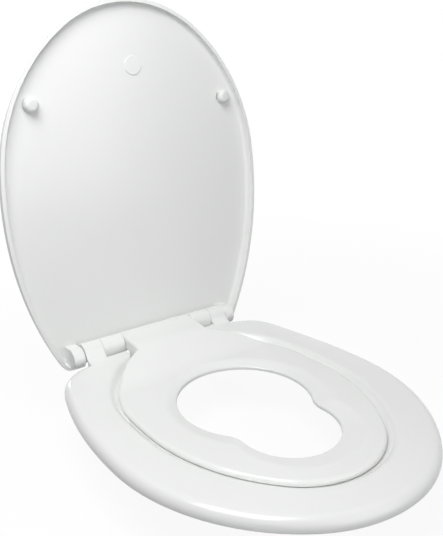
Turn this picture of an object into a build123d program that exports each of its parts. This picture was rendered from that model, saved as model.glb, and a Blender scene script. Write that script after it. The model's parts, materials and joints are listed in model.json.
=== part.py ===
from build123d import *
from math import acos, atan2, cos, degrees, radians, sin, sqrt
import os

os.makedirs("parts", exist_ok=True)

# Family toilet seat: a lid, a child ring nested in an adult seat, one hinge line.
# Millimetres. The origin lies midway between the two fixing studs, on the top
# face of the bowl. X runs along the hinge, the front is -Y, up is +Z.
# The lid is stored open and both seats lie down.

# Hinge line, from the middle outwards: child tongue, post, adult lug, lid ear
hinge_height = 31.0
knuckle_radius = 12.6
tongue_half = 53.2
post_outer = 83.6
lug_outer = 108.8
ear_outer = 124.0
side_gap = 0.4
ear_gap = 1.2  # between each lug and the ear beside it
ear_radius = 13.2
ear_back = 4.0  # the ear is rounded about a line this far behind the axis
raised_clear = 5.0  # the seats' hinge arms stay this far under the axis near the pin

# Hinge pins
pin_radius = 4.0
pin_play = 0.05
pin_seat_play = 0.02
pin_in_tongue = 24.0
pin_in_ear = 10.0

# Adult seat
seat_width = 363.6
adult_front = 413.6
adult_front_radius = 156.7
adult_rear_radius = 469.4
adult_headings = (35.0, 88.4)
adult_corner = 55.0
adult_rear = 18.6
adult_bottom = 9.2
adult_top = 21.8
adult_deck = 25.0
deck_start = 45.0
deck_end = 120.0
deck_round = 300.0
deck_rear = 16.4
deck_run = 20.0
heel_reach = 18.6
heel_height = 5.6
adult_round = 11.0
adult_wall = 3.6
rib_thickness = 2.4
rib_count = 14
lug_reach = 50.0
lug_flare = 14.0  # hollow round from the lug down to the deck

# Recess for the child ring
recess_floor = 13.4
recess_gap = 1.2
recess_slope = 8.5
channel_gap = 1.8
adult_ledge = 26.0
recess_round = 8.0

# Child ring
child_width = 254.8
child_front = 360.9
child_rear = 29.7
child_front_radius = 98.0
child_rear_radius = 392.0
child_headings = (47.4, 88.0)
child_edge = 15.0
child_crest = 20.2
child_round = 4.6
child_wall = 3.4
shoulder_round = 3.0
tongue_reach = 68.0
raised_reach = 21.5  # the tongue's underside steps down behind this
ramp_start = 94.0
ramp_end = 42.0
ramp_height = 39.5
ramp_round = 60.0
child_rib_count = 12

# Opening of the child ring: a wide rear lobe and a narrow front lobe
rear_lobe = 77.3
rear_lobe_y = -187.0
front_lobe = 56.3
front_lobe_y = -257.8
waist_round = 30.0
dish_width = 16.0
dish_depth = 5.8
dish_shift = 9.0  # the dish is this much wider at the front and narrower at the rear
dish_round = 24.0
lip_round = 2.4

# Lid, described closed; it is turned open about the hinge at the end
lid_open = 94.0
lid_side_step = 0.55  # the lid is this much narrower each side
lid_front_step = 2.1  # and reaches this much further forward
lid_front_radius = 151.5
lid_rear_radius = 419.5
lid_headings = (36.4, 82.5)
lid_corner = 10.0
lid_rear = 18.5
lid_rim = 1.0  # rim plane above the hinge axis
lid_floor_rear = 13.4
lid_floor_front = 8.0
lid_wall = 3.4
lid_lip = 4.2
lid_round = 7.0
lid_fillet = 5.0
lid_cut_edge = 6.0  # rear edge between the ears, in front of the axis

# Lid buffers and catch magnet
lid_bumper_edge = 47.8  # in from the seat's side
lid_bumper_front = 115.7  # back from the lid's front
lid_bumper_radius = 8.6
lid_bumper_round = 5.0
lid_bumper_sunk = 0.3
lid_closed_tilt = 1.6  # the shut lid leans this far past level, down to the front
bumper_rest_gap = 0.3
peg_radius = 2.5
peg_length = 2.0
peg_play = 0.1
catch_back = 19.9  # back from the child ring's front
magnet_radius = 8.5
magnet_thickness = 1.5
magnet_play = 0.1
cap_radius = 11.3
cap_proud = 0.9
cap_sunk = 0.6
cap_edge = 0.5
striker_radius = 10.0
striker_thickness = 1.4
striker_fence = 1.6

# Buffers under the seats
foot_edges = (69.8, 35.8)  # in from the seat's side, front and rear
foot_fronts = (83.6, 308.6)  # back from the seat's front
foot_radius = 9.0
foot_edge = 1.6
foot_peg_radius = 3.0
foot_peg_length = 7.0
foot_boss = 10.5
pad_edges = (55.4, 15.4)  # in from the ring's side, front and rear
pad_fronts = (44.9, 210.9)  # back from the ring's front
pad_names = ("front", "rear")
pad_radius = 5.0
pad_rest_gap = 0.2
pad_peg_radius = 1.8
pad_peg_length = 2.4
pad_boss = 6.5

# Fixings through the bowl
stud_spacing = 155.0
stud_radius = 4.0
thread_radius = 3.6
thread_play = 0.05
stud_in_post = 16.0
stud_grip = 20.0
stud_end = 54.0
stud_point = 1.0
base_radius = 19.0
base_height = 6.0
gasket_height = 2.0
gasket_hole = 6.0
washer_gap = 0.5
washer_radius = 12.0
washer_height = 3.0
washer_edge = 1.0
nut_hub = 8.0
nut_height = 13.0
wing_span = 44.0
wing_height = 11.0
wing_thickness = 3.2
wing_round = 4.0
nut_play = 0.15

lid_front = adult_front + lid_front_step
lid_bumper_x = seat_width / 2 - lid_bumper_edge
lid_bumper_y = lid_bumper_front - lid_front
catch_y = catch_back - child_front
rear_heading = 180.0  # outlines end square to the middle line
hinge_axis = Axis((0, 0, hinge_height), (1, 0, 0))
stud_x = stud_spacing / 2
sides = {"left": -1, "right": 1}
foot_spots = [(seat_width / 2 - x, y - adult_front) for x, y in zip(foot_edges, foot_fronts)]
pad_spots = [(child_width / 2 - x, y - child_front) for x, y in zip(pad_edges, pad_fronts)]
foot_places = [(side * x, y) for x, y in foot_spots for side in sides.values()]
pad_places = [(side * x, y) for x, y in pad_spots for side in sides.values()]
above = (Align.CENTER, Align.CENTER, Align.MIN)
below = (Align.CENTER, Align.CENTER, Align.MAX)
pin_run = Location((0, 0, hinge_height), (0, 90, 0))


def keep(piece, name):
    piece.label = name
    export_step(piece, "parts/" + name + ".step")


def side_arcs(front, width, front_radius, rear_radius, headings):
    """Radii of the three side arcs, and the centre of the last, for a given width."""
    first, second = (radians(heading) for heading in headings)
    spare = width / 2 - front_radius * sin(first) - rear_radius * (1 - sin(second))
    middle = spare / (sin(second) - sin(first))
    radii = (front_radius, middle, rear_radius)
    centre_x = (front_radius - middle) * sin(first) + (middle - rear_radius) * sin(second)
    centre_y = front_radius - front - (front_radius - middle) * cos(first)
    centre_y -= (middle - rear_radius) * cos(second)
    return radii, centre_x, centre_y


def arc_outline(front, arcs, inset, z):
    """Tangent arcs from the front point round one side, mirrored to the other."""
    with BuildSketch(Plane.XY.offset(z), mode=Mode.PRIVATE) as flat:
        with BuildLine():
            start, tangent, before = (0, inset - front), (1, 0), 0.0
            for radius, after in arcs:
                arc = JernArc(start, tangent, radius - inset, after - before)
                start, tangent, before = arc @ 1, arc % 1, after
            if start.X > side_gap:
                Line(start, (0, start.Y))
            mirror(about=Plane.YZ)
        make_face()
    return flat.sketch


def seat_outline(front, width, front_radius, rear_radius, headings, corner, rear, inset, z):
    """Long oval with a straight rear edge: three arcs and a rear corner each side."""
    radii, _, centre_y = side_arcs(front, width, front_radius, rear_radius, headings)
    turn = (centre_y + corner - rear) / (rear_radius - corner)
    ends = (*headings, degrees(acos(turn)), rear_heading)
    return arc_outline(front, zip((*radii, corner), ends), inset, z)


def adult_outline(inset=0.0, z=0.0):
    return seat_outline(adult_front, seat_width, adult_front_radius, adult_rear_radius,
                        adult_headings, adult_corner, -adult_rear, inset, z)


def lid_outline(inset=0.0, z=0.0):
    return seat_outline(lid_front, seat_width - 2 * lid_side_step, lid_front_radius,
                        lid_rear_radius, lid_headings, lid_corner, lid_rear, inset, z)


def ring_outline(inset=0.0, z=0.0):
    """Egg of the child ring: its arcs close in a round rear end on the middle line."""
    radii, centre_x, centre_y = side_arcs(
        child_front, child_width, child_front_radius, child_rear_radius, child_headings)
    half = atan2(-centre_x, child_rear + centre_y + child_rear_radius)
    rear = child_rear_radius + centre_x / sin(2 * half)
    ends = (*child_headings, degrees(2 * half), rear_heading)
    return arc_outline(child_front, zip((*radii, rear), ends), inset, z)


def child_outline(inset=0.0, z=0.0):
    """The ring with its hinge tongue, joined by a small hollow round."""
    half = tongue_half - side_gap / 2 - inset
    reach = tongue_reach
    with BuildSketch(Plane.XY.offset(z), mode=Mode.PRIVATE) as flat:
        add(ring_outline(inset))
        with Locations((0, knuckle_radius)):
            Rectangle(2 * half, reach + knuckle_radius, align=(Align.CENTER, Align.MAX))
        inner = [v for v in flat.vertices() if abs(abs(v.X) - half) < side_gap / 2 and v.Y < 0]
        fillet(inner, shoulder_round + inset)
    return flat.sketch


def opening_outline(grow=0.0, z=0.0, shift=0.0):
    """Front lobe, hollow waist and rear lobe as one chain of tangent arcs."""
    front_r, rear_r, waist_r = front_lobe + grow, rear_lobe + grow, waist_round - grow
    step = rear_lobe_y - front_lobe_y
    along = (step**2 + (front_r + waist_r) ** 2 - (rear_r + waist_r) ** 2) / (2 * step)
    front_end = degrees(acos(-along / (front_r + waist_r)))
    rear_start = degrees(acos((step - along) / (rear_r + waist_r)))
    turns = ((front_r, front_end), (waist_r, rear_start - front_end), (rear_r, rear_heading - rear_start))
    with BuildSketch(Plane.XY.offset(z), mode=Mode.PRIVATE) as flat:
        with BuildLine():
            start, tangent = (0, front_lobe_y - front_r - shift), (1, 0)
            for radius, turn in turns:
                arc = JernArc(start, tangent, radius, turn)
                start, tangent = arc @ 1, arc % 1
            mirror(about=Plane.YZ)
        make_face()
    return flat.sketch


def side_prism(profile, half):
    """Side view in Y and Z, drawn across the whole width."""
    with BuildPart(mode=Mode.PRIVATE) as prism:
        extrude(to_extrude=profile, amount=2 * half, dir=(1, 0, 0))
    return prism.part


# Adult seat: a rounded ring with a sloped recess, hollow underneath
def adult_side(lower=0.0):
    """Level over the ring, with a deck that rises gently to the hinge."""
    reach = adult_front + adult_wall
    with BuildSketch(Plane.YZ.offset(-reach), mode=Mode.PRIVATE) as flat:
        with BuildLine():
            Polyline(
                (0, 0),
                (-reach, 0),
                (-reach, adult_top - lower),
                (-deck_end, adult_top - lower),
                (-deck_start, adult_deck - lower),
                (0, adult_deck - lower),
                close=True,
            )
        make_face()
        bends = [v for v in flat.vertices() if -deck_end - 1 < v.X < -deck_start + 1]
        fillet(bends, deck_round)
    return side_prism(flat.sketch, reach)


def recess_cone(thicken=0.0):
    """Sloped walls round the child ring, as a tapering plug."""
    rise = adult_top - recess_floor
    with BuildPart(mode=Mode.PRIVATE) as plug:
        for step in (0, 2):
            grow = recess_gap + thicken + step * recess_slope
            add(ring_outline(-grow, recess_floor - thicken + step * rise))
        loft(ruled=True)
    return plug.part


with BuildPart() as adult_hollow:
    add(adult_outline(adult_wall, adult_bottom - 1))
    extrude(amount=adult_deck)
    add(adult_side(adult_wall), mode=Mode.INTERSECT)
    add(recess_cone(adult_wall), mode=Mode.SUBTRACT)
    add(ring_outline(-recess_gap - adult_wall, 0))
    extrude(amount=adult_deck, mode=Mode.SUBTRACT)
    Box(2 * adult_front, 2 * lug_reach, 4 * adult_deck, mode=Mode.SUBTRACT)
    with Locations((0, (front_lobe_y + rear_lobe_y) / 2)):
        with PolarLocations(0, rib_count):
            Box(adult_front, rib_thickness, 4 * adult_deck,
                align=(Align.MIN, Align.CENTER, Align.CENTER), mode=Mode.SUBTRACT)
    with Locations(*foot_places):
        Cylinder(foot_boss, 4 * adult_deck, mode=Mode.SUBTRACT)

# The lug's barrel meets its flare at lug_touch, and the flare meets the deck at flare_y
flare_z = lug_flare + adult_deck - hinge_height
flare_y = -sqrt((knuckle_radius + lug_flare) ** 2 - flare_z**2)
barrel_share = knuckle_radius / (knuckle_radius + lug_flare)
lug_touch = (barrel_share * flare_y, hinge_height + barrel_share * flare_z)

with BuildPart() as adult_seat:
    add(adult_outline(0, adult_bottom))
    extrude(amount=adult_deck)
    add(adult_side(), mode=Mode.INTERSECT)
    rim = adult_seat.edges().filter_by(lambda e: e.center().Z > adult_top - 1)
    walls = adult_seat.faces().filter_by(lambda f: abs(f.normal_at().Z) < 0.01)
    fillet(walls.edges().filter_by(lambda e: e in rim), adult_round)
    # deck and lugs at the hinge
    for side in sides.values():
        low, high = sorted((side * post_outer, side * lug_outer))
        with BuildSketch(Plane.YZ.offset(low + side_gap / 2)) as lug:
            with BuildLine():
                Polyline(
                    lug_touch,
                    (0, hinge_height),
                    (0, hinge_height - raised_clear),
                    (-deck_rear, hinge_height - raised_clear),
                    (-deck_rear, adult_bottom),
                    (flare_y, adult_bottom),
                    (flare_y, adult_deck),
                )
                TangentArc((flare_y, adult_deck), lug_touch, tangent=(1, 0))
            make_face()
            with Locations((0, hinge_height)):
                Circle(knuckle_radius)
        extrude(amount=high - low - side_gap)
    with Locations((0, -deck_rear, adult_bottom)):
        Box(2 * lug_outer - side_gap, deck_run, adult_deck - adult_bottom,
            align=(Align.CENTER, Align.MAX, Align.MIN))
    # heel cut away so that the raised seat clears the rear wall of the lid
    with Locations((0, -heel_reach, adult_bottom)):
        Box(2 * lug_outer, heel_reach, heel_height,
            align=(Align.CENTER, Align.MIN, Align.MIN), mode=Mode.SUBTRACT)
    add(adult_hollow.part, mode=Mode.SUBTRACT)
    add(recess_cone(), mode=Mode.SUBTRACT)
    recess_edge = [e for e in adult_seat.edges(Select.LAST) if e.center().Z > adult_top - 1]
    fillet(recess_edge, recess_round)
    with Locations((0, 0, recess_floor)):
        Box(2 * (tongue_half + channel_gap), 2 * lug_reach, 2 * hinge_height,
            align=above, mode=Mode.SUBTRACT)
    add(ring_outline(adult_ledge, 0))
    extrude(amount=adult_deck, mode=Mode.SUBTRACT)
    with Locations(*[(x, y, adult_bottom) for x, y in foot_places]):
        Cylinder(foot_peg_radius + peg_play, foot_peg_length + peg_play,
                 align=above, mode=Mode.SUBTRACT)
    with Locations(pin_run):
        Cylinder(pin_radius + pin_play, 4 * lug_outer, mode=Mode.SUBTRACT)
keep(adult_seat.part, "adult_seat")


# Child ring: a thin moulded plate with a dished top that rolls over into the opening
# and a ramp that climbs to the hinge tongue
def child_side(lower=0.0):
    reach = child_front + child_wall
    with BuildSketch(Plane.YZ.offset(-reach), mode=Mode.PRIVATE) as flat:
        with BuildLine():
            Polyline(
                (-reach, child_edge),
                (-reach, child_crest - lower),
                (-ramp_start, child_crest - lower),
                (-ramp_end, ramp_height - lower),
                (-knuckle_radius / 2, hinge_height + knuckle_radius - lower),
                (0, hinge_height + knuckle_radius - lower),
                (0, hinge_height - raised_clear),
                (-raised_reach, hinge_height - raised_clear),
                (-raised_reach, child_edge),
                close=True,
            )
        make_face()
        bends = [v for v in flat.vertices() if -ramp_start - 1 < v.X < -ramp_end + 1]
        fillet(bends, ramp_round)
        with Locations((0, hinge_height)):
            Circle(knuckle_radius)
    return side_prism(flat.sketch, reach)


def dish_cone(lower=0.0):
    """The dish round the opening, run on past the crest at the same slope."""
    with BuildPart(mode=Mode.PRIVATE) as plug:
        for step in (0, 1.5):
            z = child_crest - dish_depth - lower + step * dish_depth
            add(opening_outline(step * dish_width, z, step * dish_shift))
        loft(ruled=True)
    return plug.part


with BuildPart() as child_hollow:
    add(child_outline(child_wall, 0))
    extrude(amount=2 * hinge_height)
    add(child_side(child_wall), mode=Mode.INTERSECT)
    add(dish_cone(child_wall), mode=Mode.SUBTRACT)
    add(opening_outline(child_wall, 0))
    extrude(amount=2 * hinge_height, mode=Mode.SUBTRACT)
    with Locations((0, -knuckle_radius - child_wall, 0)):
        Box(4 * tongue_half, 4 * knuckle_radius, 4 * hinge_height,
            align=(Align.CENTER, Align.MIN, Align.CENTER), mode=Mode.SUBTRACT)
    with Locations((0, (front_lobe_y + rear_lobe_y) / 2)):
        with PolarLocations(0, child_rib_count, start_angle=180 / child_rib_count):
            Box(child_front, rib_thickness, 4 * hinge_height,
                align=(Align.MIN, Align.CENTER, Align.CENTER), mode=Mode.SUBTRACT)
    with Locations(*pad_places):
        Cylinder(pad_boss, 4 * hinge_height, mode=Mode.SUBTRACT)
    with Locations((0, catch_y)):
        Cylinder(striker_radius + peg_play + striker_fence, 4 * hinge_height, mode=Mode.SUBTRACT)
    ceiling = child_crest - child_wall
    with Locations((0, catch_y, ceiling)):
        Cylinder(striker_radius + peg_play, hinge_height, align=below)

with BuildPart() as child_seat:
    add(child_outline(0, child_edge - child_round))
    extrude(amount=2 * hinge_height)
    add(child_side(), mode=Mode.INTERSECT)
    sheer = child_seat.faces().filter_by(lambda f: abs(f.normal_at().Z) < 0.01).edges()
    crown = child_seat.faces().filter_by(lambda f: f.normal_at().Z > 0.3).edges()
    brim = [e for e in crown if e in sheer and e.center().Y < -knuckle_radius / 2]
    fillet(brim, child_round)
    add(dish_cone(child_wall))
    add(child_hollow.part, mode=Mode.SUBTRACT)
    add(dish_cone(), mode=Mode.SUBTRACT)
    crest = [e for e in child_seat.edges(Select.LAST) if e.center().Z > child_crest - 1]
    fillet(crest, dish_round)
    add(opening_outline(0, 0))
    extrude(amount=2 * hinge_height, mode=Mode.SUBTRACT)
    lip_z = child_crest - dish_depth
    lip = [e for e in child_seat.edges() if abs(e.center().Z - lip_z) < 0.01]
    fillet(lip, lip_round)
    with Locations(*[(x, y, child_edge) for x, y in pad_places]):
        Cylinder(pad_peg_radius + peg_play, pad_peg_length + peg_play, align=above,
                 mode=Mode.SUBTRACT)
    with Locations(pin_run):
        tongue_end = tongue_half - side_gap / 2
        with Locations((0, 0, tongue_end), (0, 0, -tongue_end)):
            Cylinder(pin_radius + pin_play, 2 * (pin_in_tongue + pin_play), mode=Mode.SUBTRACT)
keep(child_seat.part, "child_seat")

for (x, y), name in zip(pad_spots, pad_names):
    for side_name, side in sides.items():
        with BuildPart() as pad:
            pad_bottom = recess_floor + pad_rest_gap
            with Locations((side * x, y, pad_bottom)):
                Cylinder(pad_radius, child_edge - pad_bottom, align=above)
            with Locations((side * x, y, child_edge)):
                Cylinder(pad_peg_radius, pad_peg_length, align=above)
        keep(pad.part, "child_pad_" + name + "_" + side_name)

with BuildPart() as striker:
    with Locations((0, catch_y, ceiling)):
        Cylinder(striker_radius, striker_thickness, align=below)
keep(striker.part, "child_striker")

for (x, y), name in zip(foot_spots, pad_names):
    for side_name, side in sides.items():
        with BuildPart() as foot:
            with Locations((side * x, y)):
                Cylinder(foot_radius, adult_bottom, align=above)
                chamfer(foot.edges().group_by(Axis.Z)[0], foot_edge)
            with Locations((side * x, y, adult_bottom)):
                Cylinder(foot_peg_radius, foot_peg_length, align=above)
        keep(foot.part, "seat_foot_" + name + "_" + side_name)


# Lid, modelled shut and turned open about the hinge
def lid_floor(y):
    fall = (lid_floor_rear - lid_floor_front) / lid_front
    return hinge_height + lid_floor_rear + fall * y


def lid_side(thicken=0.0):
    front, rear = -lid_front - lid_wall, lid_rear + lid_wall
    with BuildSketch(Plane.YZ.offset(front), mode=Mode.PRIVATE) as flat:
        with BuildLine():
            Polyline(
                (front, 0),
                (front, lid_floor(front) + thicken),
                (rear, lid_floor(rear) + thicken),
                (rear, 0),
                close=True,
            )
        make_face()
    return side_prism(flat.sketch, -front)


rim_z = hinge_height + lid_rim
ear_inner = lug_outer - side_gap / 2 + ear_gap
floor_fillet = min(lid_fillet, 0.8 * (lid_corner - lid_lip))
bumper_seat = lid_floor(lid_bumper_y) + lid_bumper_sunk
catch_seat = lid_floor(catch_y) + cap_sunk

with BuildPart() as lid_hollow:
    add(lid_outline(lid_lip, rim_z - lid_wall))
    extrude(amount=hinge_height)
    add(lid_side(), mode=Mode.INTERSECT)
    fillet(lid_hollow.faces().sort_by(Axis.Z)[-1].edges(), floor_fillet)

with BuildPart() as lid:
    add(lid_outline(0, rim_z))
    extrude(amount=hinge_height)
    add(lid_side(lid_wall), mode=Mode.INTERSECT)
    fillet(lid.faces().sort_by(Axis.Z)[-1].edges(), lid_round)
    add(lid_hollow.part, mode=Mode.SUBTRACT)
    with Locations((0, -lid_cut_edge, 0)):
        Box(2 * ear_inner, lid_front, 4 * hinge_height,
            align=(Align.CENTER, Align.MIN, Align.CENTER), mode=Mode.SUBTRACT)
    for side in sides.values():
        low = min(side * ear_inner, side * ear_outer)
        with BuildSketch(Plane.YZ.offset(low)) as ear:
            with Locations((ear_back, hinge_height)):
                Circle(ear_radius)
                Rectangle(2 * ear_radius, lid_floor_rear + lid_wall / 2,
                          align=(Align.CENTER, Align.MIN))
        extrude(amount=ear_outer - ear_inner)
    with Locations(pin_run):
        with Locations((0, 0, ear_inner), (0, 0, -ear_inner)):
            Cylinder(pin_radius + pin_play, 2 * (pin_in_ear + pin_play), mode=Mode.SUBTRACT)
    for side in sides.values():
        with Locations((side * lid_bumper_x, lid_bumper_y, bumper_seat)):
            Cylinder(lid_bumper_radius + peg_play, hinge_height, align=below, mode=Mode.SUBTRACT)
            Cylinder(peg_radius + peg_play, peg_length + peg_play, align=above, mode=Mode.SUBTRACT)
    with Locations((0, catch_y, catch_seat)):
        Cylinder(cap_radius + magnet_play, hinge_height, align=below, mode=Mode.SUBTRACT)
        Cylinder(magnet_radius + magnet_play, magnet_thickness, align=above, mode=Mode.SUBTRACT)
keep(lid.part.rotate(hinge_axis, -lid_open), "lid")

# Height at which the shut lid's buffers meet the adult seat, in the lid's own frame
tilt = radians(lid_closed_tilt)
meet = adult_top + bumper_rest_gap - hinge_height - lid_bumper_y * sin(tilt)
bumper_tip = hinge_height + meet / cos(tilt)

for side_name, side in sides.items():
    with BuildPart() as bumper:
        with Locations((side * lid_bumper_x, lid_bumper_y, bumper_seat)):
            Cylinder(lid_bumper_radius, bumper_seat - bumper_tip, align=below)
            fillet(bumper.edges().group_by(Axis.Z)[0], lid_bumper_round)
            Cylinder(peg_radius, peg_length, align=above)
    keep(bumper.part.rotate(hinge_axis, -lid_open), "lid_bumper_" + side_name)

with BuildPart() as magnet:
    with Locations((0, catch_y, catch_seat)):
        Cylinder(magnet_radius, magnet_thickness, align=above)
keep(magnet.part.rotate(hinge_axis, -lid_open), "lid_magnet")

with BuildPart() as cap:
    with Locations((0, catch_y, catch_seat)):
        Cylinder(cap_radius, cap_sunk + cap_proud, align=below)
    chamfer(cap.edges().group_by(Axis.Z)[0], cap_edge)
keep(cap.part.rotate(hinge_axis, -lid_open), "lid_magnet_cap")

# Hinge posts with their pins, and the fixings under them
for side_name, side in sides.items():
    low = min(side * tongue_half, side * post_outer) + side_gap / 2
    with BuildPart() as post:
        with BuildSketch(Plane.YZ.offset(low)) as barrel:
            with Locations((0, hinge_height)):
                Circle(knuckle_radius)
                Rectangle(2 * knuckle_radius, hinge_height - gasket_height,
                          align=(Align.CENTER, Align.MAX))
        extrude(amount=post_outer - tongue_half - side_gap)
        with Locations((side * stud_x, 0, gasket_height)):
            Cylinder(base_radius, base_height, align=above)
            Cylinder(thread_radius + thread_play, stud_in_post + thread_play, align=above,
                     mode=Mode.SUBTRACT)
        with Locations(pin_run):
            Cylinder(pin_radius + pin_seat_play, 4 * post_outer, mode=Mode.SUBTRACT)
    keep(post.part, "hinge_post_" + side_name)

    pin_low = tongue_half - side_gap / 2 - pin_in_tongue
    pin_high = ear_inner + pin_in_ear
    with BuildPart() as pin:
        with Locations(pin_run):
            with Locations((0, 0, side * (pin_low + pin_high) / 2)):
                Cylinder(pin_radius, pin_high - pin_low)
    keep(pin.part, "hinge_pin_" + side_name)

    with BuildPart() as gasket:
        with Locations((side * stud_x, 0)):
            Cylinder(base_radius, gasket_height, align=above)
            Cylinder(gasket_hole, gasket_height, align=above, mode=Mode.SUBTRACT)
    keep(gasket.part, "base_gasket_" + side_name)

    with BuildPart() as stud:
        with Locations((side * stud_x, 0, gasket_height)):
            Cylinder(thread_radius, stud_in_post, align=above)
            Cylinder(stud_radius, gasket_height + stud_grip, align=below)
            Cylinder(thread_radius, gasket_height + stud_end, align=below)
        chamfer(stud.edges().group_by(Axis.Z)[0], stud_point)
    keep(stud.part, "fixing_stud_" + side_name)

    washer_top = -stud_grip - washer_gap
    with BuildPart() as washer:
        with Locations((side * stud_x, 0, washer_top)):
            Cylinder(washer_radius, washer_height, align=below)
        chamfer(washer.edges().group_by(Axis.Z)[0], washer_edge)
        with Locations((side * stud_x, 0, washer_top)):
            Cylinder(thread_radius + nut_play, washer_height, align=below, mode=Mode.SUBTRACT)
    keep(washer.part, "clamp_washer_" + side_name)

    nut_top = washer_top - washer_height
    with BuildPart() as nut:
        with Locations((side * stud_x, 0, nut_top)):
            Cylinder(nut_hub, nut_height, align=below)
        with BuildSketch(Plane.XZ.offset(-wing_thickness / 2)) as wings:
            with Locations((side * stud_x, nut_top - nut_height + wing_height / 2)):
                RectangleRounded(wing_span, wing_height, wing_round)
        extrude(amount=wing_thickness)
        with Locations((side * stud_x, 0, nut_top)):
            Cylinder(thread_radius + nut_play, nut_height, align=below, mode=Mode.SUBTRACT)
    keep(nut.part, "wing_nut_" + side_name)
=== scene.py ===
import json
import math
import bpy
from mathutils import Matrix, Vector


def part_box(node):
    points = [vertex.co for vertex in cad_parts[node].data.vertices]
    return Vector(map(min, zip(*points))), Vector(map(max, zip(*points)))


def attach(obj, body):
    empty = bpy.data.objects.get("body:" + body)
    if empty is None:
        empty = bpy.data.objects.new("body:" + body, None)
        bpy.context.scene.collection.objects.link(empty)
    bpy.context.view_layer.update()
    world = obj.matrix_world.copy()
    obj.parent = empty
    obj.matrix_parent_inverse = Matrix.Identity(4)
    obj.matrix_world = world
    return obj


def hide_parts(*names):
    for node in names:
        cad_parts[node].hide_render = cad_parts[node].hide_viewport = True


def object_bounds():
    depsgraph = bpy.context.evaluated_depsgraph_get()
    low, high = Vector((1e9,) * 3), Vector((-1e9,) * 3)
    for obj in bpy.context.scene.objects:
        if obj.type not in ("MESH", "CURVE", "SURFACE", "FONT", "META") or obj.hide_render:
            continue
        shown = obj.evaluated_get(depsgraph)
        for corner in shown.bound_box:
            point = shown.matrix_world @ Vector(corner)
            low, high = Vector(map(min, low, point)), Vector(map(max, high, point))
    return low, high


bl_info = {
    "name": "Family toilet seat dresser",
    "version": (1, 0, 0),
    "blender": (4, 5, 0),
    "location": "View3D > Sidebar > Toilet seat",
    "description": "Finishes a lid, child ring and adult seat on one hinge line",
    "category": "Object",
}

import bmesh
import bpy
from mathutils import Matrix, Vector

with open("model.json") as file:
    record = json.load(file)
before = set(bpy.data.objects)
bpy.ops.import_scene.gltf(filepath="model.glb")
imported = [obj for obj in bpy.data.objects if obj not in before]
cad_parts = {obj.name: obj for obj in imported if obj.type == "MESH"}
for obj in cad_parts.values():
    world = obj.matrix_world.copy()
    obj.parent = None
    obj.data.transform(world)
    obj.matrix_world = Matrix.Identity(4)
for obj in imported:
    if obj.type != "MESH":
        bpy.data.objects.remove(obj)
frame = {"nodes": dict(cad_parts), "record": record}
CAD_BOX = [list(corner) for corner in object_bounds()]
MM = 0.001
SIDES = ("left", "right")
ENDS = ("front", "rear")

# Camera of the photograph: place, viewing axes, focal length and centre in pixels
IMAGE_SIZE = (443, 536)
CAMERA_PLACE = (-0.4168, -0.6768, 0.3853)
CAMERA_RIGHT = (0.7853, -0.6190, 0.0051)
CAMERA_UP = (0.2001, 0.2616, 0.9442)
CAMERA_FOCAL = 641.7
CAMERA_CENTRE = (225.3, 276.6)
CAMERA_NEAR = 0.01
SENSOR = 36.0

# Mesh work
WELD = 0.002 * MM
THREAD_WELD = 0.005 * MM
CUT_TOLERANCE = 0.0001 * MM
FLAT_ANGLE = math.radians(0.2)  # neighbours flatter than this become one face
SHARP_ANGLE = math.radians(32)  # edges sharper than this stay sharp in the shading
BREAK_ANGLE = math.radians(40)  # edges sharper than this are broken by a round
BREAK_SEGMENTS = 2

# Stud thread: steps per turn, turns spun past its ends, and its section, where a
# corner's height is a share of the pitch
THREAD_STEPS = 20
THREAD_SPARE = 2
THREAD_LEAD = 1.5  # turns that lie below the stud's end and are cut off
CREST_START = 0.38
CREST_END = 0.5
ROOT_START = 0.88

# Floor and room: near the part the floor shows its shadow, further off it is white
WHITE = (1, 1, 1, 1)
FLOOR_REACH = 6.0
FLOOR_GAP = 0.5 * MM
FLOOR_PAINT = "#A8A8AA"  # for the light that the floor throws back
FLOOR_SEEN = "#F4F4F4"
FADE_REACH = (0.4, 1.1)
FADE_GLOW = (0.92, 1.0)
ROOM_STRENGTH = 0.20
BACKGROUND_STRENGTH = 1.0

# Lamps: place, target, side of the square in metres, power in watts
LAMPS = {
    "Key": ((-0.34, -0.34, 0.80), (-0.05, -0.22, 0.04), 0.5, 5.4),
    "Fill": ((0.30, -1.6, 0.60), (0, 0, 0.15), 1.2, 6.8),
    "Back": ((0.1, 1.2, 0.42), (0, 0.05, 0.24), 0.5, 10.0),
}


class SeatSizes(bpy.types.PropertyGroup):
    """Sizes of the finish that the solids leave open."""

    edge: bpy.props.FloatProperty(
        name="Edge break", description="Width of the round on sharp moulded edges",
        default=0.45 * MM, unit="LENGTH")
    thread_pitch: bpy.props.FloatProperty(
        name="Thread pitch", description="Rise per turn of the stud thread",
        default=1.25 * MM, unit="LENGTH")
    thread_depth: bpy.props.FloatProperty(
        name="Thread depth", description="From the crest to the root of the stud thread",
        default=0.55 * MM, unit="LENGTH")
    thread_length: bpy.props.FloatProperty(
        name="Thread length", description="Threaded part of a stud, from its lower end",
        default=33.5 * MM, unit="LENGTH")
    thread_crest: bpy.props.FloatProperty(
        name="Thread crest", description="Outer radius of the stud thread",
        default=3.72 * MM, unit="LENGTH")


class SeatColours(bpy.types.PropertyGroup):
    """Colours of the finishes."""

    white: bpy.props.StringProperty(
        name="Moulding", description="White of the lid and seats", default="#EBECEB")
    buffer: bpy.props.StringProperty(
        name="Buffers", description="White of the soft buffers", default="#E4E5E4")
    steel: bpy.props.StringProperty(
        name="Steel", description="Bare stainless steel", default="#B4B4B2")
    nut: bpy.props.StringProperty(
        name="Nuts", description="Natural nylon of the wing nuts", default="#DEDDD8")


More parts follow.
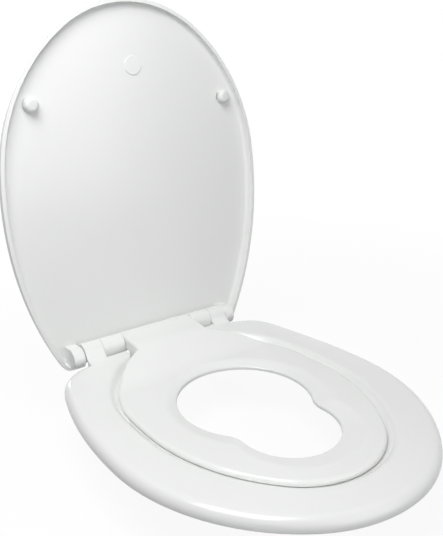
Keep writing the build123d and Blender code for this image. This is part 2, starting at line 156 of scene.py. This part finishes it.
def linear(hex_colour):
    """sRGB hex to linear RGBA."""
    parts = [int(hex_colour[i : i + 2], 16) / 255 for i in (1, 3, 5)]
    return [c / 12.92 if c <= 0.04045 else ((c + 0.055) / 1.055) ** 2.4 for c in parts] + [1.0]


def add_node(tree, kind, inputs=None, **settings):
    """One node with its settings; an input is a value or the socket that feeds it."""
    node = tree.nodes.new(kind)
    for key, value in settings.items():
        setattr(node, key, value)
    for key, value in (inputs or {}).items():
        if isinstance(value, bpy.types.NodeSocket):
            tree.links.new(value, node.inputs[key])
        else:
            node.inputs[key].default_value = value
    return node


def new_material(name):
    """A new material, its tree, and the object's coordinates in that tree."""
    material = bpy.data.materials.new(name)
    material.use_nodes = True
    tree = material.node_tree
    tree.nodes.clear()
    place = add_node(tree, "ShaderNodeTexCoord").outputs["Object"]
    return material, tree, place


def noise(tree, place, per_metre, detail):
    """Noise with about so many features per metre."""
    node = add_node(tree, "ShaderNodeTexNoise", {
        "Vector": place, "Scale": per_metre, "Detail": detail})
    return node.outputs["Fac"]


def two_tone(tree, hex_colour, share, mask):
    """The colour, which goes down to a share of itself where the mask is low."""
    tone = linear(hex_colour)
    shade = [c * share for c in tone[:3]] + [1.0]
    mix = add_node(tree, "ShaderNodeMix", {"Factor": mask, "A": shade, "B": tone},
                   data_type="RGBA")
    return mix.outputs["Result"]


def spread(tree, value, low, high):
    """A value from 0 to 1, spread over another range."""
    node = add_node(tree, "ShaderNodeMapRange", {"Value": value, "To Min": low, "To Max": high})
    return node.outputs["Result"]


def relief(tree, height, strength, distance):
    """Normals of a fine relief."""
    node = add_node(tree, "ShaderNodeBump", {
        "Height": height, "Strength": strength, "Distance": distance})
    return node.outputs["Normal"]


def shade_with(tree, inputs):
    """The Principled shader with these inputs, as the material's surface."""
    shader = add_node(tree, "ShaderNodeBsdfPrincipled", inputs)
    add_node(tree, "ShaderNodeOutputMaterial", {"Surface": shader.outputs["BSDF"]})


def background_ray(tree):
    """1 for a ray that shows the background: from the camera, or off gloss or glass."""
    path = add_node(tree, "ShaderNodeLightPath")
    first = add_node(tree, "ShaderNodeMath", {
        0: path.outputs["Is Camera Ray"], 1: path.outputs["Is Glossy Ray"]},
        operation="MAXIMUM")
    seen = add_node(tree, "ShaderNodeMath", {
        0: first.outputs[0], 1: path.outputs["Is Transmission Ray"]}, operation="MAXIMUM")
    return seen.outputs[0]


def moulded_white():
    """Glossy moulded polypropylene: a clear even white, with the faint long waves
    that shrinkage leaves in a thick moulding and a fine orange peel."""
    material, tree, place = new_material("Glossy_white_polypropylene")
    wave = noise(tree, place, per_metre=16.0, detail=1.0)  # about 60 mm long
    peel = noise(tree, place, per_metre=250.0, detail=1.0)  # about 4 mm across
    shade_with(tree, {
        "Base Color": two_tone(tree, bpy.context.scene.seat_colours.white, share=0.985, mask=wave),
        "Roughness": spread(tree, wave, low=0.16, high=0.22),
        "Normal": relief(tree, peel, strength=0.01, distance=0.2 * MM),
        "IOR": 1.49})
    return material


def soft_buffer():
    """Soft white elastomer: satin, with a fine dusty grain."""
    material, tree, place = new_material("Satin_white_elastomer")
    grain = noise(tree, place, per_metre=1400.0, detail=3.0)
    shade_with(tree, {
        "Base Color": two_tone(tree, bpy.context.scene.seat_colours.buffer, share=0.94, mask=grain),
        "Roughness": 0.42,
        "Normal": relief(tree, grain, strength=0.05, distance=0.2 * MM),
        "IOR": 1.5})
    return material


def turned_steel():
    """Stainless steel: grey, with a fine grain of about 0.4 mm in gloss and relief."""
    material, tree, place = new_material("Turned_stainless_steel")
    grain = noise(tree, place, per_metre=2500.0, detail=2.0)
    shade_with(tree, {
        "Base Color": linear(bpy.context.scene.seat_colours.steel),
        "Metallic": 1.0,
        "Roughness": spread(tree, grain, low=0.24, high=0.38),
        "Normal": relief(tree, grain, strength=0.05, distance=0.1 * MM)})
    return material


def nylon():
    """Natural nylon: slightly warm white, matt from a spark-eroded mould."""
    material, tree, place = new_material("Matt_natural_nylon")
    spark = noise(tree, place, per_metre=1800.0, detail=3.0)
    shade_with(tree, {
        "Base Color": two_tone(tree, bpy.context.scene.seat_colours.nut, share=0.93, mask=spark),
        "Roughness": 0.55,
        "Normal": relief(tree, spark, strength=0.12, distance=0.2 * MM),
        "IOR": 1.53})
    return material


FINISHES = {"moulding": moulded_white, "buffer": soft_buffer, "steel": turned_steel, "nylon": nylon}


def finish_of(name):
    """The finish, made on first use."""
    key = "finish_" + name
    scene = bpy.context.scene
    if key not in scene:
        scene[key] = FINISHES[name]().name
    return bpy.data.materials[scene[key]]


def body_of_node(node):
    """The body that the record puts the node on."""
    for body, nodes in frame["record"]["behaviour"]["bodies"].items():
        if node in nodes:
            return body
    raise RuntimeError("no body holds " + node)


def welded_copy(node):
    """The node's own mesh, its loose triangles joined."""
    bm = bmesh.new()
    bm.from_mesh(frame["nodes"][node].data)
    bmesh.ops.remove_doubles(bm, verts=bm.verts, dist=WELD)
    return bm


def put_in_scene(bm, node, finish):
    """A finished bmesh as the smooth piece that stands for a node."""
    name = node + "_skin"
    for face in bm.faces:
        face.smooth = True
    mesh = bpy.data.meshes.new(name)
    bm.to_mesh(mesh)
    bm.free()
    mesh.set_sharp_from_angle(angle=SHARP_ANGLE)
    mesh.materials.append(finish_of(finish))
    piece = bpy.data.objects.new(name, mesh)
    bpy.context.scene.collection.objects.link(piece)
    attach(piece, body_of_node(node))
    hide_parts(node)
    return piece


def smooth_moulding(node, finish, edge=0.0):
    """The node's own solid as one smooth skin; an edge width breaks its sharp edges."""
    bm = welded_copy(node)
    bmesh.ops.dissolve_limit(bm, angle_limit=FLAT_ANGLE, verts=bm.verts, edges=bm.edges)
    piece = put_in_scene(bm, node, finish)
    if edge:
        bevel = piece.modifiers.new("Edge break", "BEVEL")
        bevel.width = edge
        bevel.segments = BREAK_SEGMENTS
        bevel.limit_method = "ANGLE"
        bevel.angle_limit = BREAK_ANGLE
    normals = piece.modifiers.new("Even shading", "WEIGHTED_NORMAL")
    normals.keep_sharp = True


def trim(bm, height, keep_above):
    """Cuts everything on one side of a level off and closes the cut."""
    bmesh.ops.bisect_plane(
        bm, geom=bm.verts[:] + bm.edges[:] + bm.faces[:], dist=CUT_TOLERANCE,
        plane_co=(0, 0, height), plane_no=(0, 0, 1),
        clear_inner=keep_above, clear_outer=not keep_above)
    rim = [edge for edge in bm.edges if edge.is_boundary]
    bmesh.ops.holes_fill(bm, edges=rim, sides=0)


def spun_thread(foot, top):
    """A closed mesh of a rolled thread, from the middle of the stud's foot up to a level."""
    sizes = bpy.context.scene.seat_sizes
    pitch = sizes.thread_pitch
    crest = sizes.thread_crest
    root = crest - sizes.thread_depth
    turns = math.ceil(sizes.thread_length / pitch) + THREAD_SPARE
    section = ((root, 0.0), (crest, CREST_START), (crest, CREST_END), (root, ROOT_START), (root, 1.0))
    bm = bmesh.new()
    corners = [bm.verts.new((foot.x + radius, foot.y, foot.z + (rise - THREAD_LEAD) * pitch))
               for radius, rise in section]
    edges = [bm.edges.new(pair) for pair in zip(corners, corners[1:])]
    bmesh.ops.spin(bm, geom=corners + edges, cent=foot, axis=(0, 0, 1),
                   dvec=(0, 0, pitch / THREAD_STEPS), angle=2 * math.pi * turns,
                   steps=THREAD_STEPS * turns)
    bmesh.ops.remove_doubles(bm, verts=bm.verts, dist=THREAD_WELD)
    trim(bm, top, keep_above=False)
    trim(bm, foot.z, keep_above=True)
    bmesh.ops.recalc_face_normals(bm, faces=bm.faces)
    thread = bpy.data.meshes.new("thread")
    bm.to_mesh(thread)
    bm.free()
    return thread


def settle_order(bm):
    """Points, edges and faces in the order of their places, which is the same in each run."""
    places = (
        (bm.verts, lambda vert: vert.co[:]),
        (bm.edges, lambda edge: sorted(vert.co[:] for vert in edge.verts)),
        (bm.faces, lambda face: face.calc_center_median()[:]),
    )
    for elements, place in places:
        for rank, element in enumerate(sorted(elements, key=place)):
            element.index = rank
        elements.sort()


def threaded_stud(node):
    """The stud's plain shank, with a rolled thread spun below it."""
    low, high = (Vector(corner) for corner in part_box(node))
    middle = (low + high) / 2
    thread_top = low.z + bpy.context.scene.seat_sizes.thread_length
    thread = spun_thread(Vector((middle.x, middle.y, low.z)), thread_top)
    bm = welded_copy(node)
    trim(bm, thread_top, keep_above=True)
    bm.from_mesh(thread)
    bpy.data.meshes.remove(thread)
    settle_order(bm)
    put_in_scene(bm, node, "steel")


class SEAT_OT_mouldings(bpy.types.Operator):
    """Finish the lid, the child ring and the adult seat"""

    bl_idname = "seat.mouldings"
    bl_label = "Lid and seats"

    def execute(self, context):
        for node in ("lid", "child_seat", "adult_seat"):
            smooth_moulding(node, "moulding")
        return {"FINISHED"}


class SEAT_OT_hinge(bpy.types.Operator):
    """Finish the hinge posts and their pins"""

    bl_idname = "seat.hinge"
    bl_label = "Hinge posts and pins"

    def execute(self, context):
        for side in SIDES:
            smooth_moulding("hinge_post_" + side, "moulding", context.scene.seat_sizes.edge)
            smooth_moulding("hinge_pin_" + side, "steel")
        return {"FINISHED"}


class SEAT_OT_buffers(bpy.types.Operator):
    """Finish the soft buffers of the lid, the child ring and the adult seat, and the gaskets"""

    bl_idname = "seat.buffers"
    bl_label = "Buffers"

    def execute(self, context):
        for side in SIDES:
            smooth_moulding("lid_bumper_" + side, "buffer")
            smooth_moulding("base_gasket_" + side, "buffer")
            for end in ENDS:
                smooth_moulding("child_pad_" + end + "_" + side, "buffer")
                smooth_moulding("seat_foot_" + end + "_" + side, "buffer")
        return {"FINISHED"}


class SEAT_OT_catch(bpy.types.Operator):
    """Finish the catch magnet, its cover and the striker"""

    bl_idname = "seat.catch"
    bl_label = "Magnet catch"

    def execute(self, context):
        smooth_moulding("lid_magnet_cap", "moulding")
        smooth_moulding("lid_magnet", "steel")
        smooth_moulding("child_striker", "steel")
        return {"FINISHED"}


class SEAT_OT_fixings(bpy.types.Operator):
    """Finish the studs, washers and wing nuts under the bowl"""

    bl_idname = "seat.fixings"
    bl_label = "Fixings"

    def execute(self, context):
        for side in SIDES:
            threaded_stud("fixing_stud_" + side)
            smooth_moulding("clamp_washer_" + side, "nylon")
            smooth_moulding("wing_nut_" + side, "nylon", context.scene.seat_sizes.edge)
        return {"FINISHED"}


class SEAT_OT_stage(bpy.types.Operator):
    """Floor, light and the photograph's camera"""

    bl_idname = "seat.stage"
    bl_label = "Stage"

    def execute(self, context):
        self.floor(context.scene)
        self.room(context.scene)
        for name, (place, target, size, power) in LAMPS.items():
            self.lamp(context.scene, name, place, target, size, power)
        self.camera(context.scene)
        context.scene.view_settings.view_transform = "Standard"
        return {"FINISHED"}

    def floor(self, scene):
        """A pale floor just under the part's lowest point."""
        bm = bmesh.new()
        bmesh.ops.create_grid(bm, x_segments=1, y_segments=1, size=FLOOR_REACH)
        bmesh.ops.translate(bm, verts=bm.verts, vec=(0, 0, CAD_BOX[0][2] - FLOOR_GAP))
        mesh = bpy.data.meshes.new("floor")
        bm.to_mesh(mesh)
        bm.free()
        mesh.materials.append(self.floor_material())
        floor = bpy.data.objects.new("floor", mesh)
        scene.collection.objects.link(floor)

    def floor_material(self):
        """Paint that catches the part's shadow, white further off."""
        material, tree, place = new_material("Pale_floor")
        away = add_node(tree, "ShaderNodeVectorMath", {0: place}, operation="LENGTH")
        fade = add_node(tree, "ShaderNodeMapRange", {
            "Value": away.outputs["Value"],
            "From Min": FADE_REACH[0], "From Max": FADE_REACH[1],
            "To Min": FADE_GLOW[0], "To Max": FADE_GLOW[1]})
        paint = add_node(tree, "ShaderNodeBsdfDiffuse", {"Color": linear(FLOOR_PAINT)})
        pale = add_node(tree, "ShaderNodeBsdfDiffuse", {"Color": linear(FLOOR_SEEN)})
        glow = add_node(tree, "ShaderNodeEmission", {
            "Color": WHITE, "Strength": BACKGROUND_STRENGTH})
        seen = add_node(tree, "ShaderNodeMixShader", {
            0: fade.outputs["Result"], 1: pale.outputs[0], 2: glow.outputs[0]})
        out = add_node(tree, "ShaderNodeMixShader", {
            0: background_ray(tree), 1: paint.outputs[0], 2: seen.outputs[0]})
        add_node(tree, "ShaderNodeOutputMaterial", {"Surface": out.outputs[0]})
        return material

    def room(self, scene):
        """A dim even room that shows as a white background."""
        world = bpy.data.worlds.new("Soft_room")
        scene.world = world
        world.use_nodes = True
        tree = world.node_tree
        tree.nodes.clear()
        room = add_node(tree, "ShaderNodeBackground", {"Color": WHITE, "Strength": ROOM_STRENGTH})
        white = add_node(tree, "ShaderNodeBackground", {
            "Color": WHITE, "Strength": BACKGROUND_STRENGTH})
        mix = add_node(tree, "ShaderNodeMixShader", {
            0: background_ray(tree), 1: room.outputs[0], 2: white.outputs[0]})
        add_node(tree, "ShaderNodeOutputWorld", {"Surface": mix.outputs[0]})

    def lamp(self, scene, name, place, target, size, power):
        """A square soft lamp that faces its target."""
        data = bpy.data.lights.new(name, "AREA")
        data.shape = "SQUARE"
        data.size = size
        data.energy = power
        lamp = bpy.data.objects.new(name, data)
        lamp.location = place
        away = Vector(place) - Vector(target)
        lamp.rotation_euler = away.to_track_quat("Z", "Y").to_euler()
        scene.collection.objects.link(lamp)

    def camera(self, scene):
        """The photograph's camera, from its place and axes."""
        data = bpy.data.cameras.new("Photograph")
        width, height = IMAGE_SIZE
        data.sensor_width = SENSOR
        data.lens = CAMERA_FOCAL * SENSOR / height
        data.shift_x = (width / 2 - CAMERA_CENTRE[0]) / height
        data.shift_y = (CAMERA_CENTRE[1] - height / 2) / height
        data.clip_start = CAMERA_NEAR
        camera = bpy.data.objects.new("Photograph", data)
        right = Vector(CAMERA_RIGHT).normalized()
        back = right.cross(Vector(CAMERA_UP)).normalized()
        up = back.cross(right)
        axes = Matrix((right, up, back)).transposed().to_4x4()
        camera.matrix_world = Matrix.Translation(CAMERA_PLACE) @ axes
        scene.collection.objects.link(camera)
        scene.camera = camera


class SEAT_PT_panel(bpy.types.Panel):
    """Lists the steps of the finish, its sizes and its colours"""

    bl_idname = "SEAT_PT_panel"
    bl_label = "Toilet seat"
    bl_space_type = "VIEW_3D"
    bl_region_type = "UI"
    bl_category = "Toilet seat"

    def draw(self, context):
        for operator in OPERATORS:
            self.layout.operator(operator.bl_idname)
        for group in (context.scene.seat_sizes, context.scene.seat_colours):
            for name in group.bl_rna.properties.keys():
                if name not in ("rna_type", "name"):
                    self.layout.prop(group, name)


OPERATORS = (SEAT_OT_mouldings, SEAT_OT_hinge, SEAT_OT_buffers, SEAT_OT_catch, SEAT_OT_fixings,
             SEAT_OT_stage)
CLASSES = (SeatSizes, SeatColours, *OPERATORS, SEAT_PT_panel)


def register():
    for cls in CLASSES:
        bpy.utils.register_class(cls)
    bpy.types.Scene.seat_sizes = bpy.props.PointerProperty(type=SeatSizes)
    bpy.types.Scene.seat_colours = bpy.props.PointerProperty(type=SeatColours)


def unregister():
    del bpy.types.Scene.seat_colours
    del bpy.types.Scene.seat_sizes
    for cls in reversed(CLASSES):
        bpy.utils.unregister_class(cls)


def main():
    register()
    bpy.ops.seat.mouldings()
    bpy.ops.seat.hinge()
    bpy.ops.seat.buffers()
    bpy.ops.seat.catch()
    bpy.ops.seat.fixings()
    bpy.ops.seat.stage()


if __name__ == "__main__":
    main()
